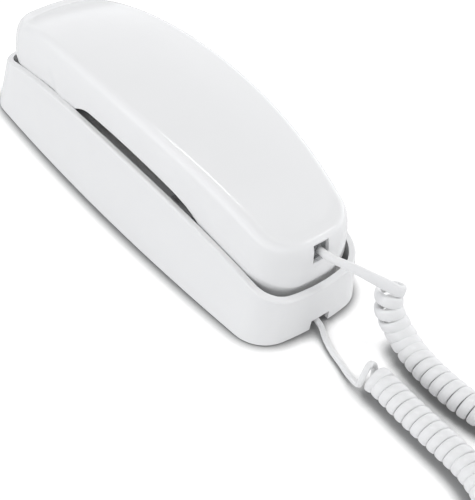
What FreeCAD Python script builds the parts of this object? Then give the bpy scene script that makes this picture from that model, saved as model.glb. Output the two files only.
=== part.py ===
"""A corded telephone: a handset lying face down on a boat-shaped base, joined to it by a curly cord.

Frame: X across, Y along (the cord ends of handset and base face -Y), Z up, origin on the floor in the
middle of the base. Lengths are in millimetres. Every size is a named cell of the sheet "sizes".
"""
import FreeCAD, Part

import math
import os
import re
from types import SimpleNamespace

import Sketcher
from FreeCAD import Placement, Rotation, Vector

NODES = []
ROOM = 200.0  # reach of the cutting slabs past the object
OVER = 1.0  # how far a cut runs past the face that it opens
ROOT = 0.5  # how deep a post is rooted in what carries it
CONTACTS = 4  # blades in a plug, springs in a jack

SIZES = {
    # base outline: straight-looking sides and ends that bow out a little between round corners
    "base_length": 218.0,
    "base_width": 70.0,
    "foot_side_bow": 4.5,
    "foot_end_bow": 5.0,
    "base_corner": 16.0,
    # the rim: shorter than the foot because the far end leans in
    "end_lean": 4.0,
    "rim_side_bow": 8.5,
    "rim_end_bow": 6.0,
    "rim_middle": 44.5,
    "rim_lean": 0.75,
    "rim_drop": 21.75,
    "rim_land": 2.6,
    "rim_round": 0.9,
    # base walls, tray and wells
    "foot_height": 0.5,
    "base_wall": 2.2,
    "tray_wall": 2.2,
    "plateau_height": 36.0,
    "plateau_near": 54.3,
    "plateau_far": 33.5,
    "mouth_well_floor": 12.0,
    "ear_well_floor": 14.0,
    "mouth_slope": 8.0,
    "ear_slope": 14.0,
    "plate_thickness": 2.0,
    "plate_gap": 0.25,
    "boss_radius": 3.5,
    "boss_side_inset": 16.0,
    "boss_near_inset": 31.0,
    "boss_far_inset": 25.0,
    "screw_radius": 1.5,
    "screw_head_radius": 2.8,
    "screw_head": 1.4,
    "screw_length": 8.0,
    "screw_clear": 0.2,
    "pilot_clear": 0.05,
    "pilot_spare": 1.0,
    "pad_radius": 5.0,
    "pad_recess": 1.0,
    "pad_fit": 0.1,
    "pad_side_inset": 13.0,
    "pad_near_inset": 19.0,
    "pad_far_inset": 17.0,
    "keyhole_spacing": 83.3,
    "keyhole_radius": 4.4,
    "keyhole_slot_radius": 2.4,
    "keyhole_slot": 8.0,
    # card under its clear cover, in a shallow recess of the plateau
    "card_width": 48.0,
    "card_near_land": 3.0,
    "card_far_land": 8.0,
    "card_fit": 0.3,
    "card_thickness": 0.3,
    "window_thickness": 0.5,
    # hook plunger in its cross trough
    "trough_half": 26.0,
    "trough_width": 9.5,
    "trough_depth": 5.0,
    "hook_inset": 11.5,
    "hook_width": 14.0,
    "hook_depth": 6.4,
    "hook_travel": 4.0,
    "hook_flange_rim": 2.0,
    "hook_flange": 2.4,
    "hook_stem_radius": 2.0,
    "spring_radius": 4.2,
    "spring_wall": 1.2,
    # base electronics
    "board_rise": 5.5,
    "board_thickness": 1.6,
    "base_board_width": 44.0,
    "board_edge": 3.9,
    "base_board_far": 36.0,
    "post_radius": 2.4,
    "post_inset": 4.0,
    "switch_width": 16.0,
    "switch_depth": 9.0,
    "switch_height": 5.0,
    "ringer_radius": 12.0,
    "ringer_height": 9.0,
    "ringer_hole": 2.0,
    "ringer_place": 8.0,
    "weight_width": 28.0,
    "weight_depth": 24.0,
    "weight_height": 5.0,
    "weight_gap": 1.95,
    # ringer switch in the right wall
    "knob_place": 0.0,
    "knob_height": 14.0,
    "knob_length": 6.0,
    "knob_tall": 4.0,
    "knob_travel": 3.0,
    "knob_sink": 1.0,
    "knob_bed_rim": 1.5,
    "knob_inset": 0.1,
    "knob_flange": 1.6,
    "knob_flange_rim": 1.0,
    "knob_grip_width": 0.8,
    "knob_grip_depth": 0.5,
    "slide_gap": 0.25,
    # modular plugs and jacks
    "plug_width": 7.65,
    "plug_height": 5.6,
    "plug_length": 12.0,
    "latch_width": 3.2,
    "latch_thickness": 1.0,
    "latch_drop": 2.4,
    "latch_tail": 1.9,
    "latch_front": 0.5,
    "latch_root": 0.2,
    "contact_width": 0.5,
    "contact_pitch": 1.27,
    "contact_length": 2.4,
    "contact_depth": 1.6,
    "contact_inset": 0.3,
    "jack_wall": 1.3,
    "jack_gap": 0.2,
    "jack_depth": 11.0,
    "jack_seat": 4.0,
    "base_jack_depth": 5.5,
    "base_jack_seat": 7.0,
    "base_jack_roof": 0.5,
    "notch_left": 3.6,
    "notch_right": 7.0,
    "notch_top": 5.4,
    "notch_slant": 0.8,
    "base_plug_inset": 4.4,
    "base_plug_across": 0.8,
    "line_jack_width": 9.8,
    "line_jack_height": 6.6,
    "line_jack_depth": 12.0,
    "line_spring": 0.4,
    "line_spring_drop": 0.8,
    "line_spring_inset": 4.0,
    # handset
    "rim_gap": 0.4,
    "rim_end_gap": 0.9,
    "handset_side_bow": 9.0,
    "handset_end_bow": 5.0,
    "handset_corner": 18.5,
    "edge_middle": 50.0,
    "edge_lean": 2.0,
    "edge_drop": 26.0,
    "top_middle": 68.5,
    "top_lean": 1.75,
    "top_drop": 18.0,
    "top_end_drop": 9.0,
    "shoulder": 10.0,
    "shell_wall": 2.2,
    "face_wall": 2.0,
    "seam": 0.3,
    "lip": 2.5,
    "lip_wall": 1.4,
    "lip_gap": 0.15,
    "face_recess": 0.6,
    "cup_gap": 0.3,
    "mouth_cup_clear": 5.7,
    "mouth_cup_run": 18.0,
    "ear_cup_clear": 4.5,
    "ear_knee_clear": 2.0,
    "ear_cup_run": 14.5,
    "knee_rise": 1.5,
    "parting_rise": 4.7,
    "mouth_cheek": 4.25,
    "mouth_cheek_turn": 0.1,
    "ear_cheek": 2.45,
    "ear_cheek_turn": 0.07,
    "cheek_lean": 0.2,
    "island_width": 50.0,
    "island_margin": 1.2,
    "island_face": 43.5,
    "island_wall": 1.6,
    # keys
    "key_width": 11.4,
    "key_depth": 6.4,
    "key_rise": 1.8,
    "key_gap": 0.25,
    "key_flange": 0.8,
    "key_flange_rim": 0.7,
    "key_travel": 1.0,
    "key_across": 14.4,
    "key_along": 10.0,
    "key_first_inset": 18.0,
    "small_key_width": 9.0,
    "small_key_depth": 4.4,
    "small_key_step": 9.8,
    "membrane_thickness": 1.0,
    "membrane_gap": 0.2,
    "keypad_side_fit": 1.2,
    "keypad_end_fit": 0.4,
    "keypad_near_margin": 5.4,
    "keypad_far_margin": 6.3,
    "keypad_post_radius": 1.0,
    "volume_step": 9.0,
    "volume_width": 5.0,
    "volume_depth": 3.0,
    "volume_rise": 1.4,
    "volume_travel": 4.0,
    # sound parts
    "receiver_radius": 12.5,
    "receiver_neck": 8.0,
    "receiver_height": 8.0,
    "receiver_inset": 19.0,
    "gasket_height": 1.5,
    "gasket_width": 3.0,
    "sound_hole": 1.2,
    "sound_ring": 5.5,
    "microphone_radius": 4.85,
    "microphone_height": 6.0,
    "microphone_hole_pitch": 3.6,
    "microphone_inset": 17.5,
    "boot_wall": 1.5,
    "handset_screw_inset": 5.0,
    "handset_screw_end": 13.5,
    "handset_screw_side": 17.2,
    "handset_boss_radius": 2.6,
    "handset_screw_radius": 1.2,
    "handset_head_radius": 2.6,
    "handset_head": 1.1,
    "handset_head_sink": 0.1,
    "handset_screw_length": 12.0,
    "ballast_width": 20.0,
    "ballast_depth": 5.0,
    "ballast_height": 16.0,
    "ballast_inset": 5.0,
    "jack_axis_drop": 6.8,
    "jack_opening": 8.1,
    "jack_opening_rise": 4.3,
    "jack_opening_drop": 4.6,
    "handset_plug_inset": 2.1,
    # cord
    "cord_thickness": 3.6,
    "coil_diameter": 12.8,
}

doc = FreeCAD.newDocument("corded_phone")
sheet = doc.addObject("Spreadsheet::Sheet", "sizes")
for row, (alias, value) in enumerate(SIZES.items(), start=1):
    sheet.set(f"A{row}", alias)
    sheet.set(f"B{row}", str(value))
    sheet.setAlias(f"B{row}", alias)
doc.recompute()
s = SimpleNamespace(**{alias: float(sheet.get(alias)) for alias in SIZES})


# ---------------------------------------------------------------- shared ways of making a sub-part


def feature(node, shape):
    """A sub-part whose curved shape is worked out from the sheet's values."""
    part = doc.addObject("Part::Feature", node)
    part.Label = node
    part.Shape = shape
    NODES.append(part)
    return part


def body(node):
    """An empty PartDesign body that becomes one sub-part."""
    part = doc.addObject("PartDesign::Body", node)
    part.Label = node
    NODES.append(part)
    return part


def bound(text):
    """An expression on the sheet's cells from the same text with bare names."""
    return re.sub(r"[a-z_]{2,}", r"sizes.\g<0>", text)


def level_sketch(part, level):
    """A sketch parallel to the floor of its body, at a height given by an expression."""
    made = part.newObject("Sketcher::SketchObject", f"{part.Name}_sketch")
    floor = next(plane for plane in part.Origin.OriginFeatures if plane.Role == "XY_Plane")
    made.AttachmentSupport = [(floor, "")]
    made.MapMode = "FlatFace"
    made.setExpression("AttachmentOffset.Base.z", bound(level))
    return made


def rectangle(made, left, right, near, far):
    """A rectangle in a sketch, each side at an expression."""
    corners = [Vector(-1, -1, 0), Vector(1, -1, 0), Vector(1, 1, 0), Vector(-1, 1, 0)]
    first = made.GeometryCount
    for k in range(4):
        made.addGeometry(Part.LineSegment(corners[k], corners[(k + 1) % 4]))
    for k in range(4):
        made.addConstraint(Sketcher.Constraint("Coincident", first + k, 2, first + (k + 1) % 4, 1))
        made.addConstraint(Sketcher.Constraint("Vertical" if k % 2 else "Horizontal", first + k))
    for kind, line, place, start in (
        ("DistanceX", 0, left, -1.0),
        ("DistanceX", 2, right, 1.0),
        ("DistanceY", 0, near, -1.0),
        ("DistanceY", 2, far, 1.0),
    ):
        index = made.addConstraint(Sketcher.Constraint(kind, -1, 1, first + line, 1, start))
        made.setExpression(f"Constraints[{index}]", bound(place))


def circle(made, across, along, radius):
    """A circle in a sketch, placed and sized by expressions."""
    index = made.addGeometry(Part.Circle(Vector(1, 1, 0), Vector(0, 0, 1), 1.0))
    for kind, place in (("DistanceX", across), ("DistanceY", along)):
        made_place = made.addConstraint(Sketcher.Constraint(kind, -1, 1, index, 3, 1.0))
        made.setExpression(f"Constraints[{made_place}]", bound(place))
    made_radius = made.addConstraint(Sketcher.Constraint("Radius", index, 1.0))
    made.setExpression(f"Constraints[{made_radius}]", bound(radius))


def grow(part, made, height):
    """Pads a sketch upward by an expression."""
    pad = part.newObject("PartDesign::Pad", f"{part.Name}_pad")
    pad.Profile = made
    pad.setExpression("Length", bound(height))


def sink(part, made, depth):
    """Pockets a sketch downward by an expression."""
    pocket = part.newObject("PartDesign::Pocket", f"{part.Name}_pocket")
    pocket.Profile = made
    pocket.setExpression("Length", bound(depth))


def block(part, left, right, near, far, bottom, top):
    """Adds a box between six expressions to a body."""
    made = level_sketch(part, bottom)
    rectangle(made, left, right, near, far)
    grow(part, made, f"({top}) - ({bottom})")


def disc(part, across, along, radius, bottom, top):
    """Adds an upright cylinder between expressions to a body."""
    made = level_sketch(part, bottom)
    circle(made, across, along, radius)
    grow(part, made, f"({top}) - ({bottom})")


def bore(part, across, along, radius, bottom, top):
    """Cuts an upright cylinder between expressions out of a body."""
    made = level_sketch(part, top)
    circle(made, across, along, radius)
    sink(part, made, f"({top}) - ({bottom})")


def box(left, right, near, far, bottom, top):
    """A plain box shape between six numbers."""
    return Part.makeBox(right - left, far - near, top - bottom, Vector(left, near, bottom))


def rod(across, along, radius, bottom, top):
    """A plain upright cylinder shape."""
    return Part.makeCylinder(radius, top - bottom, Vector(across, along, bottom))


def top_face(shape):
    """The highest face of a shape."""
    return max(shape.Faces, key=lambda face: face.CenterOfMass.z)


# ---------------------------------------------------------------- plan outlines and side profiles


def circles_meet(centre, radius, other, other_radius):
    """The crossing point of two circles that lies furthest out in the first quadrant."""
    apart = other - centre
    along = (radius**2 - other_radius**2 + apart.Length**2) / (2 * apart.Length)
    height = math.sqrt(radius**2 - along**2)
    way = Vector(apart).normalize()
    aside = Vector(-way.y, way.x, 0) * height
    return max((centre + way * along + aside, centre + way * along - aside), key=lambda p: p.x + p.y)


def plan_wire(length, width, side_bow, end_bow, corner, middle, level):
    """A closed outline seen from above: four bowed sides joined by four round corners."""
    half_width, half_length = width / 2, length / 2
    side_radius = (side_bow**2 + half_length**2) / (2 * side_bow)
    end_radius = (end_bow**2 + half_width**2) / (2 * end_bow)
    side_centre = Vector(half_width - side_radius, 0, 0)
    end_centre = Vector(0, half_length - end_radius, 0)
    round_centre = circles_meet(side_centre, side_radius - corner, end_centre, end_radius - corner)
    side_touch = side_centre + (round_centre - side_centre).normalize() * side_radius
    end_touch = end_centre + (round_centre - end_centre).normalize() * end_radius
    outward = (side_touch + end_touch - round_centre * 2).normalize()
    round_middle = round_centre + outward * corner

    def put(point, flip_x, flip_y):
        return Vector(point.x * flip_x, middle + point.y * flip_y, level)

    side_middle = Vector(half_width, 0, 0)
    end_middle = Vector(0, half_length, 0)
    arcs = []
    for flip_x in (1, -1):
        arcs.append([put(side_touch, flip_x, -1), put(side_middle, flip_x, 1), put(side_touch, flip_x, 1)])
        for flip_y in (1, -1):
            arcs.append(
                [put(point, flip_x, flip_y) for point in (side_touch, round_middle, end_touch)]
            )
    for flip_y in (1, -1):
        arcs.append([put(end_touch, 1, flip_y), put(end_middle, 1, flip_y), put(end_touch, -1, flip_y)])
    edges = [Part.Arc(*points).toShape() for points in arcs]
    return Part.Wire(Part.__sortEdges__(edges))


def wall_wire(level, inset):
    """The base's outline at a height, moved in by an inset; the far end leans in towards the rim."""
    rim_end = s.rim_middle + s.rim_lean - s.rim_drop
    rise = (level - s.foot_height) / (rim_end - s.foot_height)
    shorter = -s.end_lean * rise
    return plan_wire(
        s.base_length + shorter - 2 * inset,
        s.base_width - 2 * inset,
        s.foot_side_bow + (s.rim_side_bow - s.foot_side_bow) * rise,
        s.foot_end_bow + (s.rim_end_bow - s.foot_end_bow) * rise,
        s.base_corner - inset,
        shorter / 2,
        level,
    )


def wall_solid(bottom, inset):
    """The solid inside the base's outline from a height up to just over the rim."""
    return Part.makeLoft([wall_wire(bottom, inset), wall_wire(s.rim_middle + OVER, inset)], True, True)


def over_cheeks(inset):
    """What lies outside the handset's sides where they lean in towards the bottoms of the two cups."""
    half = s.base_width / 2 - s.rim_land - s.rim_gap
    slabs = []
    for way, place, across, turn in (
        (-1, MOUTH_KNEE, half - s.mouth_cheek, s.mouth_cheek_turn),
        (1, EAR_KNEE, half - s.ear_cheek, s.ear_cheek_turn),
    ):
        for side in (-1, 1):
            outward = Vector(side, way * turn, -s.cheek_lean).normalize()
            slab = box(0, ROOM, -ROOM, ROOM, -ROOM, ROOM)
            face = Vector(side * across, place, KNEE_LEVEL) - outward * inset
            slab.Placement = Placement(face, Rotation(Vector(1, 0, 0), outward))
            slabs.append(slab)
    return slabs


def handset_prism(inset):
    """The handset's outline as an upright solid inside the rim, with its leaning cheeks, moved in."""
    outline = plan_wire(
        HANDSET_LENGTH - 2 * inset,
        s.base_width - 2 * (s.rim_land + s.rim_gap + inset),
        s.handset_side_bow,
        s.handset_end_bow,
        s.handset_corner - inset,
        HANDSET_MIDDLE,
        0.0,
    )
    return Part.Face(outline).extrude(Vector(0, 0, ROOM)).cut(over_cheeks(inset))


def arch(middle, lean, drop, end_drop=0.0):
    """A height along Y that falls towards both ends."""

    def height(along):
        share = along / (s.base_length / 2)
        return middle - lean * share - drop * share**2 - end_drop * share**4

    return height


def side_solid(edges):
    """A closed side profile drawn at X = 0, made as wide as the cutting room."""
    face = Part.Face(Part.Wire(Part.__sortEdges__(edges)))
    face.translate(Vector(-ROOM / 2, 0, 0))
    return face.extrude(Vector(ROOM, 0, 0))


def side_polygon(points):
    """A solid from the corners of a side profile, each along and up."""
    return side_solid(Part.makePolygon([Vector(0, y, z) for y, z in points + points[:1]]).Edges)


def under(height):
    """The solid under an arch."""
    reach = 0.56 * s.base_length
    stations = [reach * (k / 4 - 1) for k in range(9)]
    points = [Vector(0, along, height(along)) for along in stations]
    curve = Part.BSplineCurve()
    curve.interpolate(points)
    low = [Vector(0, reach, -ROOM), Vector(0, -reach, -ROOM)]
    walls = Part.makePolygon([points[-1], low[0], low[1], points[0]])
    return side_solid([curve.toShape()] + walls.Edges)


def raised(height, by):
    """An arch moved up."""
    return lambda along: height(along) + by


END = s.base_length / 2
HANDSET_LENGTH = s.base_length - s.end_lean - 2 * (s.rim_land + s.rim_end_gap)
HANDSET_MIDDLE = -s.end_lean / 2
HANDSET_NEAR = HANDSET_MIDDLE - HANDSET_LENGTH / 2
HANDSET_FAR = HANDSET_MIDDLE + HANDSET_LENGTH / 2
RIM_ARCH = arch(s.rim_middle, s.rim_lean, s.rim_drop)
EDGE_ARCH = arch(s.edge_middle, s.edge_lean, s.edge_drop)
TOP_ARCH = arch(s.top_middle, s.top_lean, s.top_drop, s.top_end_drop)
FACE_ARCH = raised(EDGE_ARCH, s.face_recess)

PLATE_TOP = s.foot_height + s.plate_thickness
TROUGH_FLOOR = s.plateau_height - s.trough_depth
HOOK_PLACE = -s.plateau_near + s.hook_inset
CARD_BED = s.plateau_height - s.card_thickness - s.window_thickness
BASE_PLUG_AXIS = s.mouth_well_floor - s.tray_wall - s.base_jack_roof - s.jack_gap - s.plug_width / 2
BASE_PLUG_REAR = -END + s.base_plug_inset
BASE_JACK_REAR = BASE_PLUG_REAR + s.base_jack_seat
BASE_JACK_FRONT = BASE_JACK_REAR + s.base_jack_depth
BASE_JACK_LEFT = s.base_plug_across - s.plug_height / 2 - s.jack_gap - s.jack_wall
BASE_JACK_RIGHT = s.base_plug_across + s.plug_height / 2 + s.latch_drop + s.jack_gap + s.jack_wall
LINE_JACK_BOTTOM = PLATE_TOP + s.jack_wall
HANDSET_PLUG_REAR = HANDSET_NEAR + s.handset_plug_inset
HANDSET_JACK_REAR = HANDSET_PLUG_REAR + s.jack_seat
JACK_AXIS = TOP_ARCH(HANDSET_JACK_REAR) - s.jack_axis_drop
JACK_OPENING_TOP = JACK_AXIS + s.jack_opening_rise
JACK_OPENING_BOTTOM = JACK_AXIS - s.jack_opening_drop
MOUTH_CUP = s.mouth_well_floor + s.cup_gap
EAR_CUP = s.ear_well_floor + s.cup_gap
PARTING = MOUTH_CUP + s.parting_rise
MOUTH_KNEE = -s.plateau_near - s.mouth_cup_clear
EAR_KNEE = s.plateau_far + s.ear_knee_clear
KNEE_LEVEL = s.plateau_height + s.knee_rise
CUP_NEAR = MOUTH_KNEE - s.mouth_slope
CUP_FAR = s.plateau_far + s.ear_slope + s.ear_cup_clear
EAR_SCREW_ACROSS = s.base_width / 2 - s.rim_land - s.rim_gap - s.handset_screw_side
EAR_SCREW_ALONG = HANDSET_FAR - s.handset_screw_end
HANDSET_SCREWS = [
    (0.0, CUP_NEAR - s.handset_screw_inset, MOUTH_CUP),
    (-EAR_SCREW_ACROSS, EAR_SCREW_ALONG, EAR_CUP),
    (EAR_SCREW_ACROSS, EAR_SCREW_ALONG, EAR_CUP),
]
ISLAND_TOP = s.island_face + s.island_wall
MEMBRANE_BOTTOM = ISLAND_TOP + s.key_gap + s.key_flange + s.key_travel + s.membrane_gap
FIRST_ROW = s.plateau_far - s.key_first_inset
SMALL_KEY_ROW = FIRST_ROW - 3 * s.key_along - s.small_key_step
VOLUME_ROW = SMALL_KEY_ROW - s.volume_step
KEYPAD_NEAR = SMALL_KEY_ROW - s.keypad_near_margin
KEYPAD_FAR = FIRST_ROW + s.keypad_far_margin
MICROPHONE_PLACE = HANDSET_NEAR + s.microphone_inset
RECEIVER_PLACE = HANDSET_FAR - s.receiver_inset


# ---------------------------------------------------------------- base housing


def tray_space():
    """Everything over the tray: two wells with a raised plateau between them."""
    return side_polygon(
        [
            (-ROOM, s.mouth_well_floor),
            (-s.plateau_near - s.mouth_slope, s.mouth_well_floor),
            (-s.plateau_near, s.plateau_height),
            (s.plateau_far, s.plateau_height),
            (s.plateau_far + s.ear_slope, s.ear_well_floor),
            (ROOM, s.ear_well_floor),
            (ROOM, ROOM),
            (-ROOM, ROOM),
        ]
    )


def skin_aside(run, floor):
    """How far along Y the inner face of a sloping skin lies from its outer face."""
    rise = s.plateau_height - floor
    return s.tray_wall * (math.hypot(rise, run) - run) / rise


def works_space():
    """Everything under the tray's skin, which is one wall thick on its slopes too."""
    near = s.plateau_near - skin_aside(s.mouth_slope, s.mouth_well_floor)
    far = s.plateau_far - skin_aside(s.ear_slope, s.ear_well_floor)
    return side_polygon(
        [
            (-ROOM, -ROOM),
            (-ROOM, s.mouth_well_floor - s.tray_wall),
            (-near - s.mouth_slope, s.mouth_well_floor - s.tray_wall),
            (-near, s.plateau_height - s.tray_wall),
            (far, s.plateau_height - s.tray_wall),
            (far + s.ear_slope, s.ear_well_floor - s.tray_wall),
            (ROOM, s.ear_well_floor - s.tray_wall),
            (ROOM, -ROOM),
        ]
    )


def screw_places():
    """Where the four base screws stand."""
    across = s.base_width / 2 - s.boss_side_inset
    return [(x, y) for x in (-across, across) for y in (-END + s.boss_near_inset, END - s.boss_far_inset)]


def cord_notch():
    """The notch at the foot of the near end, with one slanted cheek, cut through wall and plate."""
    corners = [
        (-s.notch_left - s.notch_slant / 2, -OVER),
        (-s.notch_left + s.notch_slant / 2, s.notch_top),
        (s.notch_right, s.notch_top),
        (s.notch_right, -OVER),
    ]
    points = [Vector(x, -END - OVER, z) for x, z in corners + corners[:1]]
    return Part.Face(Part.makePolygon(points)).extrude(Vector(0, s.base_wall + s.foot_end_bow, 0))


def knob_slot(spare):
    """The slot in the right wall that the ringer switch slides in, with spare room round it."""
    half = s.knob_length / 2 + s.knob_travel + spare
    tall = s.knob_tall / 2 + spare
    wall = s.base_width / 2
    near, far = s.knob_place - half, s.knob_place + half
    return box(wall - s.base_wall - OVER, wall + OVER, near, far, s.knob_height - tall, s.knob_height + tall)


def hook_box(half_width, half_depth, bottom, top):
    """A box round the middle of the hook plunger."""
    return box(-half_width, half_width, HOOK_PLACE - half_depth, HOOK_PLACE + half_depth, bottom, top)


def make_base_shell():
    shell = wall_solid(s.foot_height, 0.0).common(under(RIM_ARCH))
    shell = shell.makeFillet(s.rim_round, top_face(shell).Edges)
    shell = shell.cut(wall_solid(s.mouth_well_floor, s.rim_land).common(tray_space()))
    skin = s.tray_wall
    deep = s.trough_width / 2
    trough = hook_box(s.trough_half, deep, TROUGH_FLOOR, s.plateau_height + OVER)
    trough_skin = hook_box(s.trough_half + skin, deep + skin, TROUGH_FLOOR - skin, s.plateau_height)
    works = wall_solid(s.foot_height, s.base_wall).common(works_space()).cut(trough_skin)
    shell = shell.cut([works, trough])
    half_card = s.card_width / 2 + s.card_fit
    near_card = HOOK_PLACE + deep + s.card_near_land
    far_card = s.plateau_far - s.card_far_land
    card_recess = box(-half_card, half_card, near_card, far_card, CARD_BED, s.plateau_height + OVER)
    half_hook, deep_hook = s.hook_width / 2 + s.slide_gap, s.hook_depth / 2 + s.slide_gap
    hook_hole = hook_box(half_hook, deep_hook, TROUGH_FLOOR - skin - OVER, TROUGH_FLOOR + OVER)
    shell = shell.cut([card_recess, hook_hole])
    bosses = []
    pilots = []
    for x, y in screw_places():
        floor = s.mouth_well_floor if y < 0 else s.ear_well_floor
        bosses.append(rod(x, y, s.boss_radius, PLATE_TOP, floor - skin / 2))
        pilot_end = s.foot_height + s.screw_length + s.pilot_spare
        pilots.append(rod(x, y, s.screw_radius + s.pilot_clear, PLATE_TOP - OVER, pilot_end))
    shell = shell.fuse(bosses).cut(pilots)
    half_line = s.line_jack_width / 2
    line_top = LINE_JACK_BOTTOM + s.line_jack_height
    line_start = END - s.end_lean - s.foot_end_bow
    line_opening = box(-half_line, half_line, line_start, END + OVER, LINE_JACK_BOTTOM, line_top)
    knob_bed = box(s.base_width / 2 - s.knob_sink, s.base_width, -ROOM, ROOM, 0, ROOM)
    knob_bed = knob_bed.common(knob_slot(s.knob_bed_rim))
    return feature("base_shell", shell.cut([cord_notch(), line_opening, knob_slot(s.slide_gap), knob_bed]))


def keyhole(y):
    """A hanging hole: a round entry with a narrower slot towards the far end."""
    low, high = s.foot_height - OVER, PLATE_TOP + OVER
    entry = rod(0, y, s.keyhole_radius, low, high)
    slot_end = y + s.keyhole_slot
    slot = box(-s.keyhole_slot_radius, s.keyhole_slot_radius, y, slot_end, low, high)
    return entry.fuse([slot, rod(0, slot_end, s.keyhole_slot_radius, low, high)])


def pad_places():
    """Where the four rubber feet stand."""
    across = s.base_width / 2 - s.pad_side_inset
    return [(x, y) for x in (-across, across) for y in (-END + s.pad_near_inset, END - s.pad_far_inset)]


def make_bottom_plate():
    outline = wall_wire(PLATE_TOP, s.base_wall + s.plate_gap)
    plate = Part.Face(outline).extrude(Vector(0, 0, -s.plate_thickness))
    posts = []
    across = s.base_board_width / 2 - s.post_inset
    board_near = HOOK_PLACE - s.switch_depth / 2 - s.board_edge
    for x in (-across, across):
        for y in (board_near + s.post_inset, s.base_board_far - s.post_inset):
            posts.append(rod(x, y, s.post_radius, PLATE_TOP - ROOT, PLATE_TOP + s.board_rise))
    plate = plate.fuse(posts)
    cuts = [keyhole(-s.keyhole_spacing / 2), keyhole(s.keyhole_spacing / 2)]
    for x, y in screw_places():
        cuts.append(rod(x, y, s.screw_radius + s.screw_clear, 0, PLATE_TOP + OVER))
        cuts.append(rod(x, y, s.screw_head_radius + s.screw_clear, 0, s.foot_height + s.screw_head))
    for x, y in pad_places():
        cuts.append(rod(x, y, s.pad_radius + s.pad_fit, 0, s.foot_height + s.pad_recess))
    spare = s.slide_gap
    left, right = min(-s.notch_left, BASE_JACK_LEFT - spare), max(s.notch_right, BASE_JACK_RIGHT + spare)
    cuts.append(box(left, right, -END, BASE_JACK_FRONT + spare, 0, PLATE_TOP + OVER))
    return feature("base_bottom_plate", plate.cut(cuts))


def make_rubber_feet():
    pads = [rod(x, y, s.pad_radius, 0, s.foot_height + s.pad_recess) for x, y in pad_places()]
    return feature("rubber_feet", Part.makeCompound(pads))


def make_base_screws():
    screws = []
    for x, y in screw_places():
        head = rod(x, y, s.screw_head_radius, s.foot_height, s.foot_height + s.screw_head)
        shank = rod(x, y, s.screw_radius, s.foot_height, s.foot_height + s.screw_length)
        screws.append(head.fuse(shank))
    return feature("base_screws", Part.makeCompound(screws))


# ---------------------------------------------------------------- base pieces inside and on the housing


HOOK = "-plateau_near + hook_inset"


def make_card_and_window():
    half = "card_width / 2"
    near = f"{HOOK} + trough_width / 2 + card_near_land + card_fit"
    far = "plateau_far - card_far_land - card_fit"
    bed = "plateau_height - card_thickness - window_thickness"
    card = body("index_card")
    block(card, f"-{half}", half, near, far, bed, f"{bed} + card_thickness")
    window = body("card_window")
    block(window, f"-{half}", half, near, far, f"{bed} + card_thickness", "plateau_height")


def make_base_electronics():
    bottom = "foot_height + plate_thickness + board_rise"
    top = f"{bottom} + board_thickness"
    board = body("base_circuit_board")
    wide = "base_board_width / 2"
    block(board, f"-{wide}", wide, f"{HOOK} - switch_depth / 2 - board_edge", "base_board_far", bottom, top)

    switch = body("hook_switch")
    wide, deep = "switch_width / 2", "switch_depth / 2"
    block(switch, f"-{wide}", wide, f"{HOOK} - {deep}", f"{HOOK} + {deep}", top, f"{top} + switch_height")

    ringer = body("ringer")
    disc(ringer, "0", "ringer_place", "ringer_radius", top, f"{top} + ringer_height")
    bore(ringer, "0", "ringer_place", "ringer_hole", f"{top} + ringer_height / 2", f"{top} + ringer_height")

    weight = body("base_weight")
    wide = "weight_width / 2"
    far = "-keyhole_spacing / 2 - keyhole_radius - weight_gap"
    low = "foot_height + plate_thickness"
    block(weight, f"-{wide}", wide, f"{far} - weight_depth", far, low, f"{low} + weight_height")


def make_hook_plunger():
    """The button in the trough, held down by the handset and lifted by its spring as the handset leaves."""
    wide, deep, rim = "hook_width / 2", "hook_depth / 2", "hook_flange_rim"
    near, far = f"{HOOK} - {deep}", f"{HOOK} + {deep}"
    plunger = body("hook_plunger")
    top = "plateau_height - trough_depth - tray_wall - hook_travel - slide_gap"
    bottom = f"{top} - hook_flange"
    block(plunger, f"-{wide} - {rim}", f"{wide} + {rim}", f"{near} - {rim}", f"{far} + {rim}", bottom, top)
    block(plunger, f"-{wide}", wide, near, far, top, "island_face - cup_gap")
    switch_top = "foot_height + plate_thickness + board_rise + board_thickness + switch_height"
    disc(plunger, "0", HOOK, "hook_stem_radius", f"{switch_top} + slide_gap", bottom)

    spring = body("hook_spring")
    disc(spring, "0", HOOK, "spring_radius", switch_top, bottom)
    bore(spring, "0", HOOK, "spring_radius - spring_wall", switch_top, bottom)


def make_ringer_switch():
    """The slide knob in the right wall: a cap in the slot and a wider flange behind it."""
    wall = s.base_width / 2
    half, tall = s.knob_length / 2, s.knob_tall / 2
    near, far = s.knob_place - half, s.knob_place + half
    low, high = s.knob_height - tall, s.knob_height + tall
    outside = wall - s.knob_inset
    inside = wall - s.base_wall - s.slide_gap
    rim = s.knob_flange_rim
    cap = box(inside - ROOT, outside, near, far, low, high)
    flange = box(inside - s.knob_flange, inside, near - rim, far + rim, low - rim, high + rim)
    grips = []
    for y in (s.knob_place - half / 2, s.knob_place, s.knob_place + half / 2):
        wide = s.knob_grip_width / 2
        grips.append(box(outside - s.knob_grip_depth, outside + OVER, y - wide, y + wide, 0, ROOM))
    feature("ringer_switch", cap.fuse(flange).cut(grips))


def plug_shape():
    """A modular plug pointing along Y from the middle of its rear face, its latch below."""
    half, tall = s.plug_width / 2, s.plug_height / 2
    plug = box(-half, half, 0, s.plug_length, -tall, tall)
    front, tail = s.plug_length - s.latch_front, -s.latch_tail
    latch_side = [
        (front, -tall + s.latch_root / 2),
        (tail, -tall - s.latch_drop / 3),
        (tail, -tall - s.latch_drop / 3 - s.latch_thickness),
        (front, -tall - s.latch_root),
    ]
    points = [Vector(-s.latch_width / 2, y, z) for y, z in latch_side + latch_side[:1]]
    latch = Part.Face(Part.makePolygon(points)).extrude(Vector(s.latch_width, 0, 0))
    return plug.fuse(latch).cut(contact_boxes())


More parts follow.
